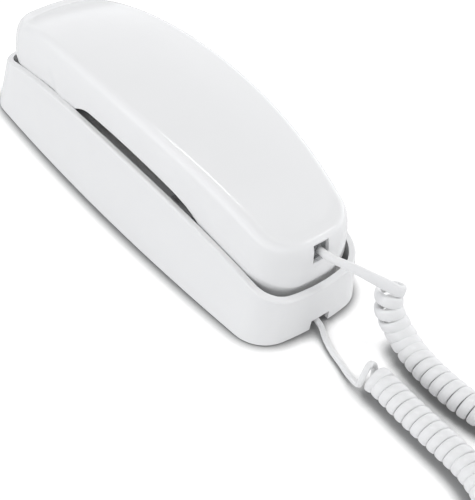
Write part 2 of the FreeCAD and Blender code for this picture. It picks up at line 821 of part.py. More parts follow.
def contact_places():
    """Where a plug's blades and a jack's springs lie, across from the middle."""
    return [(k - (CONTACTS - 1) / 2) * s.contact_pitch for k in range(CONTACTS)]


def contact_boxes():
    """The blades across the top of a plug's front end."""
    half, tall = s.contact_width / 2, s.plug_height / 2
    near, far = s.plug_length - s.contact_length, s.plug_length - s.contact_inset
    return [box(x - half, x + half, near, far, tall - s.contact_depth, tall) for x in contact_places()]


def make_plug(name, place):
    feature(f"{name}_plug", plug_shape()).Placement = place
    feature(f"{name}_plug_contacts", Part.makeCompound(contact_boxes())).Placement = place


def make_base_jacks():
    """The cord jack, whose mouth faces the notch, and the line jack in the far wall."""
    gap, wall = s.jack_gap, s.jack_wall
    low, high = BASE_PLUG_AXIS - s.plug_width / 2 - gap, BASE_PLUG_AXIS + s.plug_width / 2 + gap
    roof = s.mouth_well_floor - s.tray_wall
    outer = box(BASE_JACK_LEFT, BASE_JACK_RIGHT, BASE_JACK_REAR, BASE_JACK_FRONT, s.foot_height, roof)
    left, right = BASE_JACK_LEFT + wall, BASE_JACK_RIGHT - wall
    inner = box(left, right, BASE_JACK_REAR - OVER, BASE_PLUG_REAR + s.plug_length + gap, low, high)
    feature("base_cord_jack", outer.cut(inner))

    half = s.line_jack_width / 2
    mouth = END - s.end_lean / 2 - s.base_wall - s.slide_gap
    back = mouth - s.line_jack_depth
    low, high = LINE_JACK_BOTTOM, LINE_JACK_BOTTOM + s.line_jack_height
    outer = box(-half - wall, half + wall, back - wall, mouth, PLATE_TOP, high + wall)
    inner = box(-half, half, back, mouth + OVER, low, high)
    wide = s.line_spring / 2
    front = mouth - s.line_spring_inset
    springs = [
        box(x - wide, x + wide, back - ROOT, front, high - s.line_spring_drop, high + ROOT)
        for x in contact_places()
    ]
    feature("line_jack", outer.cut(inner).fuse(springs))


# ---------------------------------------------------------------- handset shells


def over_cups(inset):
    """Everything over the two cups, each a floor, a steep slope and a gentle one, moved in by an inset."""
    spaces = []
    for way, foot, knee, start, floor in (
        (-1, CUP_NEAR, MOUTH_KNEE, MOUTH_KNEE + s.mouth_cup_run, MOUTH_CUP),
        (1, CUP_FAR, EAR_KNEE, EAR_KNEE - s.ear_cup_run, EAR_CUP),
    ):
        reach = 3 * (start - knee)
        top = KNEE_LEVEL + 3 * (EDGE_ARCH(start) - KNEE_LEVEL)
        corners = [(foot, floor), (knee, KNEE_LEVEL), (knee + reach, top), (knee + reach, ROOM)]
        moved = [(y + way * inset, z + inset) for y, z in corners]
        spaces.append(side_polygon(moved + [(way * ROOM, ROOM), (way * ROOM, floor + inset)]))
    return spaces


def over_face(inset):
    """Everything over the handset's face: over the arched middle and in the two cups."""
    whole = box(-ROOM / 2, ROOM / 2, -ROOM, ROOM, -ROOM / 2, ROOM)
    return whole.cut(under(raised(FACE_ARCH, inset))).fuse(over_cups(inset))


def over_parting():
    """Everything over the joint of the two shells: the arched edge, the slopes and a level in the cups."""
    whole = box(-ROOM / 2, ROOM / 2, -ROOM, ROOM, PARTING, ROOM)
    cups = [whole.common(space) for space in over_cups(0.0)]
    return whole.cut(under(EDGE_ARCH)).fuse(cups)


def key_places():
    """Node name, across and along of the twelve number keys, seen from below with the ear end up."""
    names = ["1", "2", "3", "4", "5", "6", "7", "8", "9", "star", "0", "hash"]
    places = []
    for k, name in enumerate(names):
        row, column = divmod(k, 3)
        places.append((f"key_{name}", (1 - column) * s.key_across, FIRST_ROW - row * s.key_along))
    return places


def small_key_places():
    """Node name, across and along of the function keys in a row under the number keys."""
    names = ["flash", "redial", "mute"]
    return [(f"key_{name}", (1 - k) * s.key_across, SMALL_KEY_ROW) for k, name in enumerate(names)]


def make_face_shell():
    wall = s.shell_wall + s.lip_gap
    outside = over_face(0.0)
    low_part = box(-ROOM / 2, ROOM / 2, -ROOM, ROOM, 0, PARTING)
    skirt = handset_prism(s.seam).common(outside).common(low_part)
    lip = handset_prism(wall).common(outside).common(under(raised(EDGE_ARCH, s.lip)))
    inside = handset_prism(wall + s.lip_wall).common(over_face(s.face_wall))
    half, wall = s.island_width / 2, s.island_wall
    near = HOOK_PLACE - s.hook_depth / 2 - s.island_margin
    far = KEYPAD_FAR + s.keypad_end_fit + wall
    island = box(-half, half, near, far, s.island_face, s.top_middle)
    island = island.common(under(raised(FACE_ARCH, s.face_wall)))
    island_room = box(wall - half, half - wall, near + wall, far - wall, ISLAND_TOP, s.top_middle)
    shell = skirt.fuse(lip).cut(inside).fuse(island).cut(island_room)

    low, high = s.island_face - OVER, ISLAND_TOP + OVER
    holes = []
    for places, width, depth in (
        (key_places(), s.key_width, s.key_depth),
        (small_key_places(), s.small_key_width, s.small_key_depth),
        ([("volume_slider", 0.0, VOLUME_ROW)], s.volume_width + 2 * s.volume_travel, s.volume_depth),
    ):
        for _, x, y in places:
            wide, deep = width / 2 + s.key_gap, depth / 2 + s.key_gap
            holes.append(box(x - wide, x + wide, y - deep, y + deep, low, high))
    for k in range(7):
        angle = math.radians(60 * k)
        out = s.sound_ring if k else 0.0
        x, y = out * math.cos(angle), RECEIVER_PLACE + out * math.sin(angle)
        holes.append(rod(x, y, s.sound_hole, EAR_CUP - OVER, EAR_CUP + s.face_wall + OVER))
    for k in (-1, 0, 1):
        x = s.microphone_hole_pitch * k
        holes.append(rod(x, MICROPHONE_PLACE, s.sound_hole, MOUTH_CUP - OVER, MOUTH_CUP + s.face_wall + OVER))
    for x, y, cup in HANDSET_SCREWS:
        holes.append(rod(x, y, s.handset_screw_radius + s.screw_clear, cup - OVER, cup + s.face_wall + OVER))
        holes.append(rod(x, y, s.handset_head_radius + s.screw_clear, cup - OVER, cup + s.handset_head))
    shell = shell.cut(holes)

    posts = []
    radius = s.keypad_post_radius
    for x in (-s.key_across, s.key_across):
        for y in (KEYPAD_NEAR + radius, KEYPAD_FAR - radius):
            posts.append(rod(x, y, radius, ISLAND_TOP - ROOT, MEMBRANE_BOTTOM))
    return feature("handset_face_shell", shell.fuse(posts))


def arched_block(inset, shoulder):
    """The handset's outer form under the top arch, with rolled shoulders, moved in by an inset."""
    block_shape = handset_prism(inset).common(under(raised(TOP_ARCH, -inset)))
    return block_shape.makeFillet(shoulder, top_face(block_shape).Edges)


def make_back_shell():
    outer = arched_block(0.0, s.shoulder)
    inner = arched_block(s.shell_wall, s.shoulder - s.shell_wall)
    half, wall = s.jack_opening / 2, s.jack_wall
    low, high = JACK_OPENING_BOTTOM, JACK_OPENING_TOP
    frame = box(-half - wall, half + wall, -ROOM, HANDSET_JACK_REAR, low - wall, high + wall).common(outer)
    shell = outer.cut(inner).fuse(frame)
    bosses = []
    pilots = []
    for x, y, cup in HANDSET_SCREWS:
        floor = cup + s.face_wall
        pilot_end = cup + s.handset_screw_length + s.pilot_spare
        bosses.append(rod(x, y, s.handset_boss_radius, floor, TOP_ARCH(y) - s.shell_wall / 2).common(outer))
        pilots.append(rod(x, y, s.handset_screw_radius + s.pilot_clear, floor - OVER, pilot_end))
    opening = box(-half, half, -ROOM, HANDSET_JACK_REAR + OVER, low, high)
    shell = shell.common(over_parting()).cut(opening).fuse(bosses).cut(pilots)
    return feature("handset_back_shell", shell)


# ---------------------------------------------------------------- handset pieces


def make_handset_jack():
    gap, wall = s.jack_gap, s.jack_wall
    half, tall = s.plug_width / 2 + gap, s.plug_height / 2 + gap
    rear, front = HANDSET_JACK_REAR, HANDSET_JACK_REAR + s.jack_depth
    low, high = JACK_OPENING_BOTTOM, JACK_AXIS + tall
    outer = box(-half - wall, half + wall, rear, front, low - wall, high + wall)
    inner = box(-half, half, rear - OVER, HANDSET_PLUG_REAR + s.plug_length + gap, low, high)
    feature("handset_jack", outer.cut(inner))


def make_handset_screws():
    screws = []
    for x, y, cup in HANDSET_SCREWS:
        low = cup + s.handset_head_sink
        head = rod(x, y, s.handset_head_radius, low, cup + s.handset_head)
        screws.append(head.fuse(rod(x, y, s.handset_screw_radius, low, cup + s.handset_screw_length)))
    feature("handset_screws", Part.makeCompound(screws))


def make_sound_parts():
    ear = "ear_well_floor + cup_gap + face_wall"
    handset_half = "base_length / 2 - end_lean / 2 - rim_land - rim_end_gap"
    place = f"{handset_half} - end_lean / 2 - receiver_inset"
    gasket = body("receiver_gasket")
    disc(gasket, "0", place, "receiver_radius", ear, f"{ear} + gasket_height")
    bore(gasket, "0", place, "receiver_radius - gasket_width", ear, f"{ear} + gasket_height")

    receiver = body("receiver")
    low = f"{ear} + gasket_height"
    disc(receiver, "0", place, "receiver_radius", low, f"{low} + receiver_height / 2")
    disc(receiver, "0", place, "receiver_neck", f"{low} + receiver_height / 2", f"{low} + receiver_height")

    mouth = "mouth_well_floor + cup_gap + face_wall"
    mouth_end = f"-end_lean / 2 - ({handset_half})"
    place = f"{mouth_end} + microphone_inset"
    capsule = body("microphone")
    disc(capsule, "0", place, "microphone_radius", mouth, f"{mouth} + microphone_height")
    boot = body("microphone_boot")
    disc(boot, "0", place, "microphone_radius + boot_wall", mouth, f"{mouth} + microphone_height")
    bore(boot, "0", place, "microphone_radius", mouth, f"{mouth} + microphone_height")

    ballast = body("handset_weight")
    wide = "ballast_width / 2"
    near = f"{mouth_end} + ballast_inset"
    block(ballast, f"-{wide}", wide, near, f"{near} + ballast_depth", mouth, f"{mouth} + ballast_height")


def make_keypad():
    low = "island_face + island_wall + key_gap + key_flange + key_travel + membrane_gap"
    wide = "(island_width / 2 - island_wall - keypad_side_fit)"
    first = "plateau_far - key_first_inset"
    near = f"{first} - 3 * key_along - small_key_step - keypad_near_margin"
    far = f"{first} + keypad_far_margin"
    membrane = body("keypad_membrane")
    block(membrane, f"-{wide}", wide, near, far, low, f"{low} + membrane_thickness")
    board = body("keypad_board")
    low = f"{low} + membrane_thickness"
    block(board, f"-{wide}", wide, near, far, low, f"{low} + board_thickness")


def make_button(node, width, depth, rise, x, y):
    """A button hanging through the island: a cap below the face and a flange behind it."""
    button = body(node)
    wide, deep = f"{width} / 2", f"{depth} / 2"
    seat = "island_wall + key_gap"
    block(button, f"-{wide}", wide, f"-{deep}", deep, f"-{rise}", seat)
    rim = "key_flange_rim"
    block(button, f"-{wide} - {rim}", f"{wide} + {rim}", f"-{deep} - {rim}", f"{deep} + {rim}", seat,
          f"{seat} + key_flange")
    button.Placement = Placement(Vector(x, y, s.island_face), Rotation())


# ---------------------------------------------------------------- curly cord

HANDSET_LEAD = [
    (0.0, -103.4, 42.1),
    (0.0, -109.0, 42.1),
    (2.6, -115.0, 41.4),
    (6.6, -121.2, 40.0),
    (10.0, -125.9, 38.7),
    (12.9, -130.1, 36.4),
    (14.57, -131.3, 32.3),
    (15.6, -131.3, 27.0),
]

COIL = [
    (15.6, -131.3, 27.0),
    (17.2, -131.3, 18.8),
    (20.0, -135.2, 10.6),
    (21.0, -144.0, 6.6),
    (18.2, -154.4, 6.6),
    (17.0, -167.0, 6.6),
    (17.6, -182.0, 6.6),
    (22.0, -200.0, 6.6),
    (32.0, -221.0, 6.6),
    (39.0, -245.0, 6.6),
    (37.5, -269.0, 6.6),
    (25.5, -290.0, 6.6),
    (4.5, -301.0, 6.6),
    (-19.0, -298.0, 6.6),
    (-36.0, -281.0, 6.6),
    (-38.5, -259.0, 6.6),
    (-27.0, -241.0, 6.6),
    (-12.5, -225.0, 6.6),
    (-4.5, -206.0, 6.6),
    (-4.3, -186.5, 6.6),
    (-4.2, -168.0, 6.6),
    (-3.9, -157.5, 6.6),
    (-3.4, -149.0, 6.6),
]

BASE_LEAD = [
    (-3.4, -149.0, 6.6),
    (-3.1, -143.9, 6.6),
    (-4.8, -138.6, 3.6),
    (-6.4, -132.4, 2.1),
    (-6.0, -124.8, 1.9),
    (-3.2, -117.6, 2.3),
    (0.8, -111.4, 3.5),
    (0.8, -104.6, 3.5),
]


def tube(node, route, radius):
    """A round tube along straight runs joined by tangent arcs as large as the runs allow."""
    points = [Vector(*point) for point in route]
    edges = []
    start = points[0]
    length = 0.0
    radii = []
    for before, corner, after in zip(points, points[1:], points[2:]):
        back, ahead = before - corner, after - corner
        reach = 0.45 * min(back.Length, ahead.Length)
        half_turn = (math.pi - back.getAngle(ahead)) / 2
        radii.append(reach / math.tan(half_turn))
        first, last = corner + back.normalize() * reach, corner + ahead.normalize() * reach
        sagitta = radii[-1] * (1 / math.cos(half_turn) - 1)
        middle = corner + (back + ahead).normalize() * sagitta
        edges += [Part.LineSegment(start, first).toShape(), Part.Arc(first, middle, last).toShape()]
        length += (first - start).Length + radii[-1] * 2 * half_turn
        start = last
    edges.append(Part.LineSegment(start, points[-1]).toShape())
    length += (points[-1] - start).Length
    path = Part.Wire(edges)
    profile = Part.Wire(Part.makeCircle(radius, points[0], points[1] - points[0]))
    solid = path.makePipeShell([profile], True, True)
    share = solid.Volume / (math.pi * radius**2 * length)
    print(f"{node}: {length:.0f} mm, volume share {share:.4f}, radii", [round(r, 1) for r in radii])
    return feature(node, solid)


# ---------------------------------------------------------------- the whole telephone

make_base_shell()
make_bottom_plate()
make_rubber_feet()
make_base_screws()
make_card_and_window()
make_base_electronics()
make_hook_plunger()
make_ringer_switch()
make_base_jacks()
make_back_shell()
make_face_shell()
make_handset_jack()
make_handset_screws()
make_sound_parts()
make_keypad()
for node, x, y in key_places():
    make_button(node, "key_width", "key_depth", "key_rise", x, y)
for node, x, y in small_key_places():
    make_button(node, "small_key_width", "small_key_depth", "key_rise", x, y)
make_button("volume_slider", "volume_width", "volume_depth", "volume_rise", 0.0, VOLUME_ROW)
make_plug("handset", Placement(Vector(0, HANDSET_PLUG_REAR, JACK_AXIS), Rotation()))
on_its_side = Rotation(Vector(0, 1, 0), -90)
make_plug("base", Placement(Vector(s.base_plug_across, BASE_PLUG_REAR, BASE_PLUG_AXIS), on_its_side))
tube("cord_lead_handset", HANDSET_LEAD, s.cord_thickness / 2)
tube("cord_coil", COIL, s.coil_diameter / 2)
tube("cord_lead_base", BASE_LEAD, s.cord_thickness / 2)

doc.recompute()
for item in doc.Objects:
    if {"Invalid", "Error"} & set(item.State):
        raise RuntimeError(f"{item.Name} failed: {item.State}")
os.makedirs("parts", exist_ok=True)
for part in NODES:
    if part.Shape.isNull() or not part.Shape.isValid() or part.Shape.Volume <= 0:
        raise RuntimeError(f"{part.Label} has no valid shape")
for part in NODES:
    part.Shape.exportStep(f"parts/{part.Label}.step")
print(len(NODES), "sub-parts written")
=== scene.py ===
"""A corded telephone: its handset lies face down on a boat-shaped base, and a curly cord joins the two."""
import math

import bmesh
import bpy
from mathutils import Matrix, Vector


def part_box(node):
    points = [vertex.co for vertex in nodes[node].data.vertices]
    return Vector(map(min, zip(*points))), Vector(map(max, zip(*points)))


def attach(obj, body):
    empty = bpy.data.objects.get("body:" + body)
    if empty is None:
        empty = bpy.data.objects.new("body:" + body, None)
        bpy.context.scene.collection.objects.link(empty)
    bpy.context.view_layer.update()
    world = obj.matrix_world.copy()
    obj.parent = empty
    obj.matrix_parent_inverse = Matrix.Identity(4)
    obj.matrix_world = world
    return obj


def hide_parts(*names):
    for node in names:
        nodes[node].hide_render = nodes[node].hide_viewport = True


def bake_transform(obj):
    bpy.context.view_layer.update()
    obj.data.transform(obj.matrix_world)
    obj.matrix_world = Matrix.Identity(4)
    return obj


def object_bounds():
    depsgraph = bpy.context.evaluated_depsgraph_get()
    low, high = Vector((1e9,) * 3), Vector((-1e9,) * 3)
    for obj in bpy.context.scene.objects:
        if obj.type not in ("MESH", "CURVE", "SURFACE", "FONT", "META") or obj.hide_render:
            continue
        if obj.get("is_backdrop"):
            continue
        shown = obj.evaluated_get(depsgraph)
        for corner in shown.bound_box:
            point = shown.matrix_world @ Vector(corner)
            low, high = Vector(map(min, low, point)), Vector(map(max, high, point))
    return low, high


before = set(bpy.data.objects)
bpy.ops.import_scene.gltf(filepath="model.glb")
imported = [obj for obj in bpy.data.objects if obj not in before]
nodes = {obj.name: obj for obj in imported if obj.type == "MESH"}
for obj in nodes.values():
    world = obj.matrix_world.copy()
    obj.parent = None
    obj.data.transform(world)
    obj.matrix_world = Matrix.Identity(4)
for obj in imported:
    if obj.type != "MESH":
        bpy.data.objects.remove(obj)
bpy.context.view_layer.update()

MM = 0.001

# ---------------------------------------------------------------- base shell and bottom plate
# The base is a deep glossy tray with a rounded rim, closed from below by a satin plate. Four screws hold the
# plate, four black rubber feet keep the telephone from sliding, and an iron slug keeps the tray down.

LEAST_GLOSS, MOST_GLOSS = 0.85, 1.15
PLASTIC_DARK, METAL_DARK = 0.97, 0.85
WAVE_DETAIL, WAVE_STRENGTH = 3.0, 0.25
METAL_WAVES, METAL_DEPTH = 300.0, 0.00001
MIX_SHARE, MIX_FIRST, MIX_SECOND, MIX_COLOUR = 0, 6, 7, 2


def shader_of(name):
    """A new material and its main shader."""
    made = bpy.data.materials.new(name)
    made.use_nodes = True
    return made, made.node_tree, made.node_tree.nodes["Principled BSDF"]


def ranged(tree, value, to_low, to_high, from_low=0.0, from_high=1.0):
    """A value carried over from one range to another."""
    made = tree.nodes.new("ShaderNodeMapRange")
    made.inputs["From Min"].default_value = from_low
    made.inputs["From Max"].default_value = from_high
    made.inputs["To Min"].default_value = to_low
    made.inputs["To Max"].default_value = to_high
    tree.links.new(value, made.inputs["Value"])
    return made.outputs["Result"]


def unevenness(tree, shader, scale, roughness, depth):
    """Small waves in a surface and in its gloss, as a mould or a tool leaves them."""
    place = tree.nodes.new("ShaderNodeTexCoord")
    noise = tree.nodes.new("ShaderNodeTexNoise")
    noise.inputs["Scale"].default_value = scale
    noise.inputs["Detail"].default_value = WAVE_DETAIL
    tree.links.new(place.outputs["Object"], noise.inputs["Vector"])
    gloss = ranged(tree, noise.outputs["Fac"], roughness * LEAST_GLOSS, roughness * MOST_GLOSS)
    tree.links.new(gloss, shader.inputs["Roughness"])
    bump = tree.nodes.new("ShaderNodeBump")
    bump.inputs["Strength"].default_value = WAVE_STRENGTH
    bump.inputs["Distance"].default_value = depth
    tree.links.new(noise.outputs["Fac"], bump.inputs["Height"])
    tree.links.new(bump.outputs["Normal"], shader.inputs["Normal"])
    return noise


def two_tone(tree, share, first, second):
    """A colour between two, by a share from nothing to one."""
    tone = tree.nodes.new("ShaderNodeMix")
    tone.data_type = "RGBA"
    tone.inputs[MIX_FIRST].default_value = (*first, 1.0)
    tone.inputs[MIX_SECOND].default_value = (*second, 1.0)
    tree.links.new(share, tone.inputs[MIX_SHARE])
    return tone.outputs[MIX_COLOUR]


def tinted(tree, shader, noise, light, dark):
    """A colour that wanders a little between two tones."""
    tree.links.new(two_tone(tree, noise.outputs["Fac"], dark, light), shader.inputs["Base Color"])


def moulded(name, colour, roughness, scale, depth, coat=0.0):
    """Moulded plastic or rubber: one colour with a faint wander, and the unevenness of its mould."""
    made, tree, shader = shader_of(name)
    noise = unevenness(tree, shader, scale, roughness, depth)
    tinted(tree, shader, noise, colour, tuple(PLASTIC_DARK * c for c in colour))
    shader.inputs["Coat Weight"].default_value = coat
    shader.inputs["Coat Roughness"].default_value = 0.08
    shader.inputs["IOR"].default_value = 1.5
    return made


def metal(name, colour, roughness, stretch):
    """A plated or brushed metal: fine streaks in its gloss along one direction."""
    made, tree, shader = shader_of(name)
    shader.inputs["Metallic"].default_value = 1.0
    place = tree.nodes.new("ShaderNodeTexCoord")
    streak = tree.nodes.new("ShaderNodeMapping")
    streak.inputs["Scale"].default_value = stretch
    noise = unevenness(tree, shader, METAL_WAVES, roughness, METAL_DEPTH)
    tree.links.new(place.outputs["Object"], streak.inputs["Vector"])
    tree.links.new(streak.outputs["Vector"], noise.inputs["Vector"])
    tinted(tree, shader, noise, colour, tuple(METAL_DARK * c for c in colour))
    return made


def dress(finish, *names):
    """Gives pieces of the frame their finish."""
    for name in names:
        nodes[name].material_slots[0].material = finish


base_white = moulded("base_white", (0.87, 0.87, 0.87), 0.25, 40.0, 0.0001, 0.3)
plate_satin = moulded("plate_satin", (0.82, 0.82, 0.83), 0.55, 900.0, 0.00004)
black_rubber = moulded("black_rubber", (0.10, 0.10, 0.10), 0.75, 1200.0, 0.00004)
painted_iron = moulded("painted_iron", (0.20, 0.20, 0.20), 0.55, 350.0, 0.0002)
zinc_steel = metal("zinc_steel", (0.60, 0.60, 0.61), 0.32, (1.0, 1.0, 6.0))
dress(base_white, "base_shell")
dress(plate_satin, "base_bottom_plate")
dress(black_rubber, "rubber_feet")
dress(zinc_steel, "base_screws")
dress(painted_iron, "base_weight")

# ---------------------------------------------------------------- circuit boards
# The base and the handset each hold one board, a thin sheet of glass fibre with a green solder mask over its
# copper tracks. One lies on four posts of the bottom plate, the other behind the keypad's membrane.

board_green, board_tree, board_shader = shader_of("board_green")
unevenness(board_tree, board_shader, 500.0, 0.35, 0.00002)
board_place = board_tree.nodes.new("ShaderNodeTexCoord")
board_tracks = board_tree.nodes.new("ShaderNodeTexBrick")
board_tracks.inputs["Scale"].default_value = 160.0
board_tracks.inputs["Mortar Size"].default_value = 0.06
board_tracks.inputs["Color1"].default_value = (0.03, 0.16, 0.06, 1.0)
board_tracks.inputs["Color2"].default_value = (0.04, 0.20, 0.08, 1.0)
board_tracks.inputs["Mortar"].default_value = (0.10, 0.34, 0.14, 1.0)
board_tree.links.new(board_place.outputs["Object"], board_tracks.inputs["Vector"])
board_tree.links.new(board_tracks.outputs["Color"], board_shader.inputs["Base Color"])
dress(board_green, "keypad_board", "base_circuit_board")

# ---------------------------------------------------------------- hook, ringer and sockets
# A white plunger stands in the middle of the tray on a coil spring, over a black switch on the base's circuit
# board. The ringer is a black capsule, its switch a white slider in the side wall, and the two sockets are
# black housings.

button_white = moulded("button_white", (0.80, 0.80, 0.81), 0.42, 900.0, 0.00002)
dark_satin = moulded("dark_satin", (0.06, 0.06, 0.065), 0.45, 800.0, 0.00003)
dress(button_white, "hook_plunger", "ringer_switch")
dress(zinc_steel, "hook_spring")
dress(dark_satin, "hook_switch", "ringer", "base_cord_jack", "line_jack")

# ---------------------------------------------------------------- number card and its window
# A card for numbers lies on the tray's middle under a thin clear window that snaps in at both ends. The card
# is ruled in grey, like a small address book.

LINE_SPACING, LINE_WIDTH = 6.0 * MM, 0.24 * MM
PAPER, RULED_GREY = (0.93, 0.92, 0.88), (0.45, 0.46, 0.48)


def worked_out(tree, operation, first, second):
    """What an operation makes of two values, of which the second may be a plain number."""
    made = tree.nodes.new("ShaderNodeMath")
    made.operation = operation
    tree.links.new(first, made.inputs[0])
    if isinstance(second, float):
        made.inputs[1].default_value = second
    else:
        tree.links.new(second, made.inputs[1])
    return made.outputs["Value"]


card_paper, card_tree, card_shader = shader_of("card_paper")
unevenness(card_tree, card_shader, 1500.0, 0.85, 0.00003)
card_place = card_tree.nodes.new("ShaderNodeTexCoord")
card_across = card_tree.nodes.new("ShaderNodeSeparateXYZ")
card_tree.links.new(card_place.outputs["Object"], card_across.inputs["Vector"])
from_line = worked_out(card_tree, "PINGPONG", card_across.outputs["Y"], LINE_SPACING / 2)
on_line = worked_out(card_tree, "LESS_THAN", from_line, LINE_WIDTH / 2)
card_colour = two_tone(card_tree, on_line, PAPER, RULED_GREY)
card_tree.links.new(card_colour, card_shader.inputs["Base Color"])
dress(card_paper, "index_card")


def clear(name, colour, opacity, roughness, scale):
    """A clear moulding with faint flow lines in it."""
    made, tree, shader = shader_of(name)
    shader.inputs["Base Color"].default_value = (*colour, 1.0)
    shader.inputs["Alpha"].default_value = opacity
    shader.inputs["IOR"].default_value = 1.6
    unevenness(tree, shader, scale, roughness, 0.00003)
    return made


clear_sheet = clear("clear_sheet", (0.90, 0.92, 0.93), 0.12, 0.04, 120.0)
dress(clear_sheet, "card_window")

# ---------------------------------------------------------------- handset face shell
# The inner half of the handset, with the two cups and the keypad island between them. It is moulded in glossy
# white and slips inside the outer shell's lip.

handset_white = moulded("handset_white", (0.87, 0.87, 0.87), 0.20, 40.0, 0.0001, 0.3)
dress(handset_white, "handset_face_shell")

# ---------------------------------------------------------------- keys and their numbers
# Twelve dialling keys, three smaller function keys and a volume slider, moulded in satin white. The numbers,
# letters and words are printed on the caps in dark grey, and read right when the handset is turned over.

print_grey = moulded("print_grey", (0.07, 0.07, 0.075), 0.60, 1500.0, 0.000005)
KEY_PRINTS = {
    "key_1": ("1", ""),
    "key_2": ("2", "ABC"),
    "key_3": ("3", "DEF"),
    "key_4": ("4", "GHI"),
    "key_5": ("5", "JKL"),
    "key_6": ("6", "MNO"),
    "key_7": ("7", "PQRS"),
    "key_8": ("8", "TUV"),
    "key_9": ("9", "WXYZ"),
    "key_star": ("*", ""),
    "key_0": ("0", "OPER"),
    "key_hash": ("#", ""),
    "key_flash": ("", "FLASH"),
    "key_redial": ("", "REDIAL"),
    "key_mute": ("", "MUTE"),
}
PRINT_DEPTH = 0.04 * MM
NUMBER_SIZE, LETTER_SIZE = 4.6 * MM, 2.1 * MM
NUMBER_SHIFT, LETTER_SHIFT = Vector((2.0, 0.0, 0.0)) * MM, Vector((-2.4, 0.0, 0.0)) * MM


def printed(name, text, size, place):
    """A word printed on a face that looks down, upright towards the handset's ear end."""
    data = bpy.data.curves.new(name, "FONT")
    data.body = text
    data.size = size
    data.align_x, data.align_y = "CENTER", "CENTER"
    data.extrude = PRINT_DEPTH
    letters = bpy.data.objects.new(name, data)
    bpy.context.scene.collection.objects.link(letters)
    bpy.context.view_layer.update()
    flat = bpy.data.meshes.new_from_object(letters.evaluated_get(bpy.context.evaluated_depsgraph_get()))
    bpy.data.objects.remove(letters)
    turned_over = Matrix.Rotation(math.pi, 4, "Y")
    flat.transform(Matrix.Translation(place) @ turned_over)
    flat.materials.clear()
    flat.materials.append(print_grey)
    made = bpy.data.objects.new(name, flat)
    bpy.context.scene.collection.objects.link(made)
    return made


for name, (number, letters) in KEY_PRINTS.items():
    dress(button_white, name)
    low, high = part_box(name)
    middle = Vector(((low.x + high.x) / 2, (low.y + high.y) / 2, low.z))
    apart = 1.0 if number and letters else 0.0
    if number:
        number_print = printed(name + "_number", number, NUMBER_SIZE, middle + NUMBER_SHIFT * apart)
        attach(number_print, name)
    if letters:
        letter_print = printed(name + "_letters", letters, LETTER_SIZE, middle + LETTER_SHIFT * apart)
        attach(letter_print, name)
dress(button_white, "volume_slider")

# ---------------------------------------------------------------- keypad membrane
# Under the caps lies a grey silicone membrane with a soft dome for each key. It is held flat between the face
# shell and the handset's circuit board.

membrane_grey = moulded("membrane_grey", (0.62, 0.64, 0.66), 0.60, 300.0, 0.00005)
dress(membrane_grey, "keypad_membrane")

# ---------------------------------------------------------------- sound parts and ballast of the handset
# The receiver is a black capsule on a rubber gasket, and the microphone a small aluminium can in a rubber
# boot. A painted iron slug in the mouth end holds the hook down when the handset lies on the base.

satin_aluminium = metal("satin_aluminium", (0.75, 0.75, 0.76), 0.30, (8.0, 1.0, 1.0))
dress(dark_satin, "receiver", "handset_jack")
dress(black_rubber, "receiver_gasket", "microphone_boot")
dress(satin_aluminium, "microphone")
dress(painted_iron, "handset_weight")

# ---------------------------------------------------------------- handset shell
# The outer shell of the handset: a thin glossy moulding with an arched back, rolled shoulders and a rounded
# lower edge. Its sides run down over the two cups, where they draw in below a crease, and three screws from
# below hold it to the face shell.

shell_low, shell_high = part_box("handset_back_shell")
SIDE_PLAY = 0.2
HALF_WIDTH = (shell_high.x - shell_low.x) / 2 / MM - SIDE_PLAY
HALF_LENGTH = (shell_high.y - shell_low.y) / 2 / MM
MIDDLE = (shell_high.y + shell_low.y) / 2 / MM
NEAR_END, FAR_END = MIDDLE - HALF_LENGTH, MIDDLE + HALF_LENGTH
HALF_BASE = 109.0
EDGE_MIDDLE, EDGE_LEAN, EDGE_ARCH = 50.0, 2.0, 26.0
TOP_MIDDLE, TOP_LEAN, TOP_ARCH, TOP_DROP = 68.5, 1.75, 18.0, 9.0
SIDE_BOW, END_BOW, CORNER = 9.0, 5.0, 18.5
SIDE_STEPS, CORNER_STEPS, END_STEPS = 44, 14, 10
SHOULDER, CROWN = 7.5, 2.6
SIDE_POWER, END_POWER = 2.5, 4.2
PARTING = shell_low.z / MM
KNEE_LEVEL = 37.5
MOUTH_FOOT, MOUTH_KNEE, MOUTH_START = -68.0, -60.0, -50.0
EAR_FOOT, EAR_KNEE, EAR_START = 52.0, 35.5, 21.0
MOUTH_FLOOR, EAR_FLOOR = 12.3, 14.3
START_ROUND, KNEE_ROUND = 3.0, 1.6
CREASE_LEVEL, CREASE_SLOPE, CREASE_DEPTH = 27.5, 0.5, 2.1
CREASE_FADE_FROM, CREASE_FADE_TO = 41.0, 58.0
EDGE_LIP, EDGE_ROUND, LEAST_WALL = 1.4, 0.5, 0.9
SHELL_WALL = 2.0
WALL_STEPS, SHOULDER_STEPS, BACK_STEPS = 9, 14, 10
SETTLING_ROUNDS = 14


def edge_height(y):
    """The arch of the handset's lower edge."""
    share = y / HALF_BASE
    return EDGE_MIDDLE - EDGE_LEAN * share - EDGE_ARCH * share**2


def top_height(y):
    """The arch of the handset's back along its middle."""
    share = y / HALF_BASE
    return TOP_MIDDLE - TOP_LEAN * share - TOP_ARCH * share**2 - TOP_DROP * share**4


def soft_min(a, b, reach):
    """The smaller of two heights, with the corner between them rounded."""
    share = min(1.0, max(0.0, 0.5 + (b - a) / (2 * reach)))
    return b + (a - b) * share - reach * share * (1 - share)


